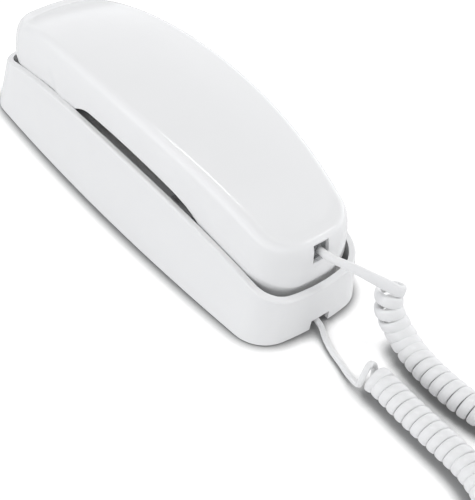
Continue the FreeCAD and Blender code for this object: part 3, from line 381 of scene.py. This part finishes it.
def low_height(y):
    """The bottom of the shell: the arched edge, then down over the slopes of the two cups."""
    found = edge_height(y) - EDGE_LIP
    for foot, knee, start, floor in (
        (MOUTH_FOOT, MOUTH_KNEE, MOUTH_START, MOUTH_FLOOR),
        (EAR_FOOT, EAR_KNEE, EAR_START, EAR_FLOOR),
    ):
        gentle = KNEE_LEVEL + (edge_height(start) - EDGE_LIP - KNEE_LEVEL) * (y - knee) / (start - knee)
        steep = floor + (KNEE_LEVEL - floor) * (y - foot) / (knee - foot)
        found = soft_min(found, gentle, START_ROUND)
        found = soft_min(found, steep, KNEE_ROUND)
    return max(PARTING, found)


def quarter_outline():
    """A quarter of the handset's plan, from the middle of a side to the middle of an end, with normals."""
    side_radius = (SIDE_BOW**2 + HALF_LENGTH**2) / (2 * SIDE_BOW)
    end_radius = (END_BOW**2 + HALF_WIDTH**2) / (2 * END_BOW)
    side_centre = Vector((HALF_WIDTH - side_radius, 0.0))
    end_centre = Vector((0.0, HALF_LENGTH - end_radius))
    apart = end_centre - side_centre
    reach, other = side_radius - CORNER, end_radius - CORNER
    along = (reach**2 - other**2 + apart.length_squared) / (2 * apart.length)
    aside = math.sqrt(reach**2 - along**2)
    ahead = apart.normalized()
    centre = side_centre + ahead * along + Vector((-ahead.y, ahead.x)) * aside
    first = math.atan2(centre.y - side_centre.y, centre.x - side_centre.x)
    last = math.atan2(centre.y - end_centre.y, centre.x - end_centre.x)
    found = []
    for middle, radius, start, end, steps in (
        (side_centre, side_radius, 0.0, first, SIDE_STEPS),
        (centre, CORNER, first, last, CORNER_STEPS),
        (end_centre, end_radius, last, math.pi / 2, END_STEPS),
    ):
        for k in range(steps):
            angle = start + (end - start) * k / steps
            normal = Vector((math.cos(angle), math.sin(angle)))
            found.append((middle + normal * radius, normal))
    found.append((Vector((0.0, HALF_LENGTH)), Vector((0.0, 1.0))))
    return found


def whole_outline():
    """The handset's plan all round, counter-clockwise, with normals."""
    quarter = quarter_outline()
    found = []
    for flip_x, flip_y, part in (
        (1, 1, quarter[:-1]),
        (-1, 1, quarter[:0:-1]),
        (-1, -1, quarter[:-1]),
        (1, -1, quarter[:0:-1]),
    ):
        for point, normal in part:
            place = Vector((point.x * flip_x, MIDDLE + point.y * flip_y))
            found.append((place, Vector((normal.x * flip_x, normal.y * flip_y))))
    return found


def crease_fade(y):
    """One near the two ends of the handset, nothing in its middle."""
    share = (abs(y - MIDDLE) - CREASE_FADE_FROM) / (CREASE_FADE_TO - CREASE_FADE_FROM)
    share = min(1.0, max(0.0, share))
    return share * share * (3 - 2 * share)


def crease_height(y):
    """The slanting line on each side of a cup under which the wall draws in."""
    from_end = min(y - NEAR_END, FAR_END - y)
    slanted = CREASE_LEVEL + CREASE_SLOPE * from_end
    return edge_height(y) + (slanted - edge_height(y)) * crease_fade(y)


def drawn_in(start, normal, z):
    """How far along Y a point of the wall has moved towards the middle by a height under the crease."""
    below = max(0.0, crease_height(start.y) - z) * crease_fade(start.y)
    moved = min(CREASE_SLOPE * below, CREASE_DEPTH / max(abs(normal.y), 0.001))
    return math.copysign(moved, MIDDLE - start.y)


def shoulder_power(normal):
    """How square the rolled shoulder is: softer along the sides than over the two ends."""
    return SIDE_POWER + (END_POWER - SIDE_POWER) * normal.y**2


def shoulder_top(place):
    """The height of the back over a point of the plan, lower towards the two sides."""
    return top_height(place.y) - CROWN * (place.x / HALF_WIDTH) ** 2


def wall_inset(start, normal, z):
    """How far the rolled shoulder has drawn in by a height over the edge."""
    power = shoulder_power(normal)
    rim = start - normal * SHOULDER
    share = (z - edge_height(start.y)) / (shoulder_top(rim) - edge_height(start.y))
    share = min(1.0, max(0.0, share))
    return SHOULDER * (1 - (1 - share**power) ** (1 / power))


def shell_column(start, normal):
    """The points of the shell over one point of the outline, from the bottom edge to the middle line."""
    edge = edge_height(start.y)
    low = low_height(start.y)
    for _ in range(SETTLING_ROUNDS):
        low = (low + low_height(start.y + drawn_in(start, normal, low))) / 2
    middle = max(edge, crease_height(start.y), low + LEAST_WALL)
    column = []
    for round_share in (0.0, 0.5, 1.0):
        turned = round_share * math.pi / 2
        column.append((low + EDGE_ROUND * (1 - math.cos(turned)), EDGE_ROUND * (1 - math.sin(turned))))
    for k in range(1, WALL_STEPS + 1):
        z = low + EDGE_ROUND + (middle - low - EDGE_ROUND) * k / WALL_STEPS
        column.append((z, wall_inset(start, normal, z)))
    points = []
    for z, inset in column:
        place = start - normal * inset
        points.append(Vector((place.x, place.y + drawn_in(start, normal, z), z)))
    power = shoulder_power(normal)
    rim = start - normal * SHOULDER
    share = (middle - edge) / (shoulder_top(rim) - edge)
    first = math.asin(min(1.0, share ** (power / 2)))
    for k in range(1, SHOULDER_STEPS + 1):
        turned = first + (math.pi / 2 - first) * k / SHOULDER_STEPS
        inset = SHOULDER * (1 - max(0.0, math.cos(turned)) ** (2 / power))
        place = start - normal * inset
        rise = math.sin(turned) ** (2 / power)
        points.append(Vector((place.x, place.y, edge + (shoulder_top(rim) - edge) * rise)))
    reach = HALF_LENGTH - HALF_WIDTH
    spine = Vector((0.0, min(MIDDLE + reach, max(MIDDLE - reach, rim.y))))
    for k in range(1, BACK_STEPS + 1):
        place = rim.lerp(spine, k / BACK_STEPS)
        points.append(Vector((place.x, place.y, shoulder_top(place))))
    return points


def mesh_object(name, points, faces, smooth=True):
    """A new mesh object from its corners and faces."""
    data = bpy.data.meshes.new(name)
    data.from_pydata(points, [], faces)
    data.validate()
    for polygon in data.polygons:
        polygon.use_smooth = smooth
    made = bpy.data.objects.new(name, data)
    bpy.context.scene.collection.objects.link(made)
    return made


columns = [shell_column(start, normal) for start, normal in whole_outline()]
height = len(columns[0])
points = [point * MM for column in columns for point in column]
faces = []
for i in range(len(columns)):
    ahead = (i + 1) % len(columns)
    for k in range(height - 1):
        a, b = i * height + k, ahead * height + k
        faces.append((a, b, b + 1, a + 1))
handset_shell = mesh_object("handset_shell", points, faces)

WELD_REACH = 0.001 * MM
weld = bmesh.new()
weld.from_mesh(handset_shell.data)
bmesh.ops.remove_doubles(weld, verts=weld.verts, dist=WELD_REACH)
weld.to_mesh(handset_shell.data)
weld.free()


def applied(piece):
    """Gives a piece the mesh that its modifiers make, and removes them."""
    seen = piece.evaluated_get(bpy.context.evaluated_depsgraph_get())
    made = bpy.data.meshes.new_from_object(seen)
    piece.modifiers.clear()
    piece.data = made


def box_object(name, low, high):
    """A plain box, to cut with."""
    corners = [(x, y, z) for x in (low[0], high[0]) for y in (low[1], high[1]) for z in (low[2], high[2])]
    sides = [(0, 1, 3, 2), (4, 6, 7, 5), (0, 4, 5, 1), (2, 3, 7, 6), (0, 2, 6, 4), (1, 5, 7, 3)]
    return mesh_object(name, [Vector(c) * MM for c in corners], sides, smooth=False)


thick = handset_shell.modifiers.new("thickness", "SOLIDIFY")
thick.thickness = SHELL_WALL * MM
thick.offset = -1.0
applied(handset_shell)

jack_low, jack_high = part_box("handset_jack")
OPENING_HALF, OPENING_SILL, OPENING_HEAD = 4.05, 1.3, 0.1
CUT_OUTSIDE, CUT_INSIDE = 5.0, 1.0
cutter = box_object(
    "opening_cutter",
    (-OPENING_HALF, NEAR_END - CUT_OUTSIDE, jack_low.z / MM + OPENING_SILL),
    (OPENING_HALF, jack_low.y / MM + CUT_INSIDE, jack_high.z / MM + OPENING_HEAD),
)
cut = handset_shell.modifiers.new("opening", "BOOLEAN")
cut.operation = "DIFFERENCE"
cut.solver = "EXACT"
cut.object = cutter
applied(handset_shell)
bpy.data.objects.remove(cutter)

handset_shell.data.materials.clear()
handset_shell.data.materials.append(handset_white)
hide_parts("handset_back_shell")
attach(handset_shell, "handset")
dress(zinc_steel, "handset_screws")

# ---------------------------------------------------------------- clear plugs
# The cord's two plugs are clear polycarbonate mouldings with four gold-flashed contacts. The latch of each
# snaps behind the lip of its black jack.

clear_plastic = clear("clear_plastic", (0.78, 0.80, 0.82), 0.22, 0.06, 600.0)
gold_flash = metal("gold_flash", (0.83, 0.66, 0.30), 0.22, (1.0, 6.0, 1.0))
dress(clear_plastic, "handset_plug", "base_plug")
dress(gold_flash, "handset_plug_contacts", "base_plug_contacts")

# ---------------------------------------------------------------- curly cord
# A flat four-wire cord in a soft white jacket, wound tight on a rod and baked so that it stays curled. Its
# straight ends run to a clear plug in the handset and one in the base, and the coil lies on the table in a
# long loop.

HANDSET_LEAD = [
    (0.0, -103.4, 42.1),
    (0.0, -108.8, 42.1),
    (3.0, -113.6, 41.0),
    (6.8, -118.2, 39.2),
    (10.9, -123.7, 36.6),
    (15.6, -128.8, 33.6),
]
COIL = [
    (20.9, -128.0, 29.2),
    (18.9, -128.8, 24.0),
    (17.9, -131.8, 18.2),
    (19.6, -137.4, 11.2),
    (19.4, -145.6, 6.6),
    (17.6, -155.0, 6.6),
    (17.0, -167.0, 6.6),
    (17.6, -182.0, 6.6),
    (22.0, -200.0, 6.6),
    (32.0, -221.0, 6.6),
    (39.0, -245.0, 6.6),
    (37.5, -269.0, 6.6),
    (25.5, -290.0, 6.6),
    (4.5, -301.0, 6.6),
    (-19.0, -298.0, 6.6),
    (-36.0, -281.0, 6.6),
    (-38.5, -259.0, 6.6),
    (-27.0, -241.0, 6.6),
    (-12.5, -225.0, 6.6),
    (-4.5, -206.0, 6.6),
    (-4.3, -186.5, 6.6),
    (-4.2, -168.0, 6.6),
    (-3.6, -158.0, 6.6),
    (-3.2, -153.0, 6.6),
    (-3.6, -149.6, 6.9),
    (-4.6, -146.2, 7.0),
    (-6.6, -143.4, 6.9),
]
BASE_LEAD = [
    (-9.4, -140.8, 3.4),
    (-8.0, -136.6, 2.2),
    (-6.4, -131.4, 1.9),
    (-5.2, -124.6, 1.9),
    (-2.6, -117.0, 2.2),
    (0.6, -111.0, 3.5),
    (0.8, -104.6, 3.5),
]
CORD_WIDTH, CORD_THICKNESS = 5.2 * MM, 2.5 * MM
HANDSET_LEAD_WIDTH, BASE_LEAD_WIDTH = 3.4 * MM, 2.5 * MM
COIL_RADIUS = 5.15 * MM
WIDENS_OVER = 52.0 * MM
HANDSET_WIDENS_BY, BASE_WIDENS_BY = 1.5, 2
TURN_POINTS, SECTION_POINTS = 14, 18
AXIS_STEPS, ROUTE_STEPS = 12, 3
SECTION_POWER = 0.75
CLOSE_PITCH, TURN_FILL = 4.55, 0.97
HUNG_PITCH, HUNG_OVER = 1.7, 15.0
SLACK_PITCH, SLACK_OVER = 0.4, 60.0
LAST_PITCH, LAST_OVER = 3.0, 5.0
SEARCH_BACK, SEARCH_ON = 3, 9
ARRIVES = Vector((-0.23, -0.91, 0.32))
LEAVES = Vector((-0.87, 0.24, -0.43))


def spline_points(name, points, steps):
    """The points of the smooth curve that a list of control points draws."""
    data = bpy.data.curves.new(name, "CURVE")
    data.dimensions = "3D"
    data.resolution_u = steps
    spline = data.splines.new("NURBS")
    spline.points.add(len(points) - 1)
    for made, point in zip(spline.points, points):
        made.co = (*point, 1.0)
    spline.order_u = 3
    spline.use_endpoint_u = True
    curve = bpy.data.objects.new(name, data)
    line = bpy.data.meshes.new_from_object(curve)
    found = [vertex.co.copy() for vertex in line.vertices]
    bpy.data.meshes.remove(line)
    bpy.data.objects.remove(curve)
    return found


def lengths_along(points):
    """How far along the line each of its points lies."""
    found = [0.0]
    for before, after in zip(points, points[1:]):
        found.append(found[-1] + (after - before).length)
    return found


def in_metres(points):
    """Points given in millimetres, as vectors in metres."""
    return [Vector(point) * MM for point in points]


coil_axis = spline_points("coil_axis", in_metres(COIL), AXIS_STEPS)
axis_at = lengths_along(coil_axis)
axis_ways = [
    (coil_axis[min(k + 1, len(coil_axis) - 1)] - coil_axis[max(k - 1, 0)]).normalized()
    for k in range(len(coil_axis))
]
axis_sides = []
side = ARRIVES
for way in axis_ways:
    side = (side - way * side.dot(way)).normalized()
    axis_sides.append(side)


def pitch_at(distance):
    """How far apart the turns lie: open where the coil hangs from the handset, close on the table."""
    begun, left = distance / MM, (axis_at[-1] - distance) / MM
    hanging = HUNG_PITCH * math.exp(-begun / HUNG_OVER) + SLACK_PITCH * math.exp(-begun / SLACK_OVER)
    return (CLOSE_PITCH + hanging + LAST_PITCH * math.exp(-left / LAST_OVER)) * MM


def on_axis(distance):
    """The place, direction and sideways direction of the coil's axis at a distance along it."""
    index = 1
    while index < len(axis_at) - 1 and axis_at[index] < distance:
        index += 1
    share = (distance - axis_at[index - 1]) / (axis_at[index] - axis_at[index - 1])
    found = [line[index - 1].lerp(line[index], share) for line in (coil_axis, axis_ways, axis_sides)]
    return found[0], found[1].normalized(), found[2].normalized()


def wound(tightness):
    """Distances along the axis of the helix's points, and the angle turned by the last of them."""
    distances = [0.0]
    while distances[-1] < axis_at[-1]:
        distances.append(distances[-1] + pitch_at(distances[-1]) / TURN_POINTS / tightness)
    return distances, 2 * math.pi * (len(distances) - 1) / TURN_POINTS


_, last_way, last_side = on_axis(axis_at[-1])
leaving_angle = math.atan2(-LEAVES.dot(last_way.cross(last_side)), LEAVES.dot(last_side))
natural_angle = wound(1.0)[1]
whole_turns = round((natural_angle - leaving_angle) / (2 * math.pi))
tightness = (leaving_angle + 2 * math.pi * whole_turns) / natural_angle
helix = []
for k, distance in enumerate(wound(tightness)[0]):
    place, way, side = on_axis(distance)
    angle = 2 * math.pi * k / TURN_POINTS
    helix.append(place + (side * math.cos(angle) - way.cross(side) * math.sin(angle)) * COIL_RADIUS)

centreline = spline_points("cord_route", in_metres(HANDSET_LEAD) + helix + in_metres(BASE_LEAD), ROUTE_STEPS)
cord_at = lengths_along(centreline)
handset_end = lengths_along(in_metres(HANDSET_LEAD))[-1]
base_end = lengths_along(in_metres(BASE_LEAD))[-1]


def axis_way_beside(point, start):
    """The direction of the coil's axis beside a point, searched onward from an earlier find."""
    nearby = range(max(0, start - SEARCH_BACK), min(len(coil_axis), start + SEARCH_ON))
    best = min(nearby, key=lambda k: (coil_axis[k] - point).length)
    return best, axis_ways[best]


def rounded(share, half):
    """A coordinate of a rounded oblong section from a sine or cosine."""
    return math.copysign(abs(share) ** SECTION_POWER, share) * half


points = []
axis_index = 0
for k, point in enumerate(centreline):
    ahead = (centreline[min(k + 1, len(centreline) - 1)] - centreline[max(k - 1, 0)]).normalized()
    axis_index, wide_way = axis_way_beside(point, axis_index)
    wide_way = (wide_way - ahead * wide_way.dot(ahead)).normalized()
    thin_way = ahead.cross(wide_way)
    from_handset = min(1.0, max(0.0, cord_at[k] / handset_end))
    from_base = min(1.0, max(0.0, (cord_at[-1] - cord_at[k] - base_end) / WIDENS_OVER))
    width = min(CORD_WIDTH, TURN_FILL * pitch_at(axis_at[axis_index]))
    width = HANDSET_LEAD_WIDTH + (width - HANDSET_LEAD_WIDTH) * from_handset**HANDSET_WIDENS_BY
    width = BASE_LEAD_WIDTH + (width - BASE_LEAD_WIDTH) * from_base**BASE_WIDENS_BY
    for j in range(SECTION_POINTS):
        turned = 2 * math.pi * j / SECTION_POINTS
        across = rounded(math.cos(turned), width / 2)
        out = rounded(math.sin(turned), CORD_THICKNESS / 2)
        points.append(point + wide_way * across + thin_way * out)
faces = []
for k in range(len(centreline) - 1):
    for j in range(SECTION_POINTS):
        a, b = k * SECTION_POINTS + j, k * SECTION_POINTS + (j + 1) % SECTION_POINTS
        faces.append((a, b, b + SECTION_POINTS, a + SECTION_POINTS))
faces.append(tuple(reversed(range(SECTION_POINTS))))
faces.append(tuple(range(len(points) - SECTION_POINTS, len(points))))
curly_cord = mesh_object("curly_cord", points, faces)

jacket = moulded("cord_white", (0.86, 0.86, 0.86), 0.40, 700.0, 0.00003, 0.2)
curly_cord.data.materials.append(jacket)
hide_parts("cord_coil", "cord_lead_base", "cord_lead_handset")
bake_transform(curly_cord)

# ---------------------------------------------------------------- studio
# The telephone stands on a seamless white table between white walls. A soft box hangs nearly overhead, a
# little to the right, so that the shadow stays close to the foot, and two small lamps draw the bright lines
# along the handset's shoulder and over its cord end. The table's white is a glow that only the camera sees;
# an ambient-occlusion mask holds it back round the telephone's foot, which paints a dark contact shadow
# there.

AZIMUTH, ELEVATION, ROLL = math.radians(-42.948), math.radians(44.078), math.radians(5.646)
DISTANCE = 561.816 * MM
LENS = 88.05
AIM = Vector((0.0, 0.0, 30.0)) * MM
AIM_RIGHT, AIM_UP = -32.687 * MM, 51.046 * MM

back = Vector(
    (
        math.sin(AZIMUTH) * math.cos(ELEVATION),
        -math.cos(AZIMUTH) * math.cos(ELEVATION),
        math.sin(ELEVATION),
    )
)
level_right = Vector((math.cos(AZIMUTH), math.sin(AZIMUTH), 0.0))
level_up = back.cross(level_right)
right = level_right * math.cos(ROLL) + level_up * math.sin(ROLL)
up = level_up * math.cos(ROLL) - level_right * math.sin(ROLL)

camera = bpy.data.objects.new("camera", bpy.data.cameras.new("camera"))
bpy.context.scene.collection.objects.link(camera)
camera.data.lens = LENS
camera.data.clip_start, camera.data.clip_end = 0.02, 20.0
turn = Matrix((right, up, back)).transposed().to_4x4()
camera.matrix_world = Matrix.Translation(AIM + back * DISTANCE - right * AIM_RIGHT - up * AIM_UP) @ turn
bpy.context.scene.camera = camera
bpy.context.scene.view_settings.view_transform = "Standard"

HORIZON_LIGHT, ZENITH_LIGHT, ZENITH_FROM = 2.40, 0.30, 0.8
SIDE_LIGHT, END_LIGHT = 1.0, 0.45
world = bpy.data.worlds.new("white_walls")
bpy.context.scene.world = world
world.use_nodes = True
walls = world.node_tree
wall_light = walls.nodes["Background"]
wall_light.inputs["Color"].default_value = (0.97, 0.98, 1.0, 1.0)
wall_place = walls.nodes.new("ShaderNodeTexCoord")
wall_way = walls.nodes.new("ShaderNodeSeparateXYZ")
walls.links.new(wall_place.outputs["Generated"], wall_way.inputs["Vector"])
by_height = ranged(walls, wall_way.outputs["Z"], HORIZON_LIGHT, ZENITH_LIGHT, from_high=ZENITH_FROM)
to_end = worked_out(walls, "POWER", wall_way.outputs["Y"], 2.0)
by_side = ranged(walls, to_end, SIDE_LIGHT, END_LIGHT)
wall_strength = worked_out(walls, "MULTIPLY", by_height, by_side)
walls.links.new(wall_strength, wall_light.inputs["Strength"])


def lamp(name, place, aim, width, depth, power):
    """A soft box at a place, turned to a point."""
    made = bpy.data.objects.new(name, bpy.data.lights.new(name, "AREA"))
    bpy.context.scene.collection.objects.link(made)
    made.data.shape = "RECTANGLE"
    made.data.size, made.data.size_y = width, depth
    made.data.energy = power
    made.location = place
    made.rotation_mode = "QUATERNION"
    made.rotation_quaternion = (Vector(aim) - Vector(place)).to_track_quat("-Z", "Y")
    return made


overhead = lamp("overhead_lamp", (0.30, -0.20, 1.20), (0.0, -0.03, 0.0), 0.30, 0.30, 1.7)
overhead.visible_glossy = False
lamp("shoulder_lamp", (-0.12, 0.15, 1.00), (0.0, -0.02, 0.05), 0.06, 0.70, 2.3)
lamp("ridge_lamp", (0.50, -0.50, 0.72), (0.0, -0.08, 0.04), 0.36, 0.06, 0.8)

TABLE_SIZE = 8.0
TABLE_WHITE, TABLE_SEEN, TABLE_GLOW = 0.90, 0.34, 0.78
# Reach, samples and range of the ambient-occlusion mask that paints a contact shadow on the table.
PAINTED_SHADOW_REACH, PAINTED_SHADOW_SAMPLES, PAINTED_SHADOW_DARKEST, PAINTED_SHADOW_CLEAR = 9.0 * MM, 24, 0.55, 0.86
bpy.ops.mesh.primitive_plane_add(size=TABLE_SIZE, location=(0, 0, 0))
table = bpy.context.object
table.name = "table_top"
table_finish, table_tree, table_shader = shader_of("table_white")
table_shader.inputs["Roughness"].default_value = 0.9
table_shader.inputs["Specular IOR Level"].default_value = 0.1
table_shader.inputs["Emission Color"].default_value = (1.0, 1.0, 1.0, 1.0)
table_seen = table_tree.nodes.new("ShaderNodeLightPath").outputs["Is Camera Ray"]
table_tone = ranged(table_tree, table_seen, TABLE_WHITE, TABLE_SEEN)
table_tree.links.new(table_tone, table_shader.inputs["Base Color"])
# Painted shadow: near the telephone the camera-only glow fades with ambient occlusion, and the darker colour
# the camera sees shows through as a dark contact shadow.
painted_contact_shadow = table_tree.nodes.new("ShaderNodeAmbientOcclusion")
painted_contact_shadow.inputs["Distance"].default_value = PAINTED_SHADOW_REACH
painted_contact_shadow.samples = PAINTED_SHADOW_SAMPLES
table_glow = ranged(table_tree, painted_contact_shadow.outputs["AO"], 0.0, TABLE_GLOW, PAINTED_SHADOW_DARKEST, PAINTED_SHADOW_CLEAR)
table_glow = worked_out(table_tree, "MULTIPLY", table_glow, table_seen)
table_tree.links.new(table_glow, table_shader.inputs["Emission Strength"])
table.data.materials.append(table_finish)
table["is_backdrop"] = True

low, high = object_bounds()
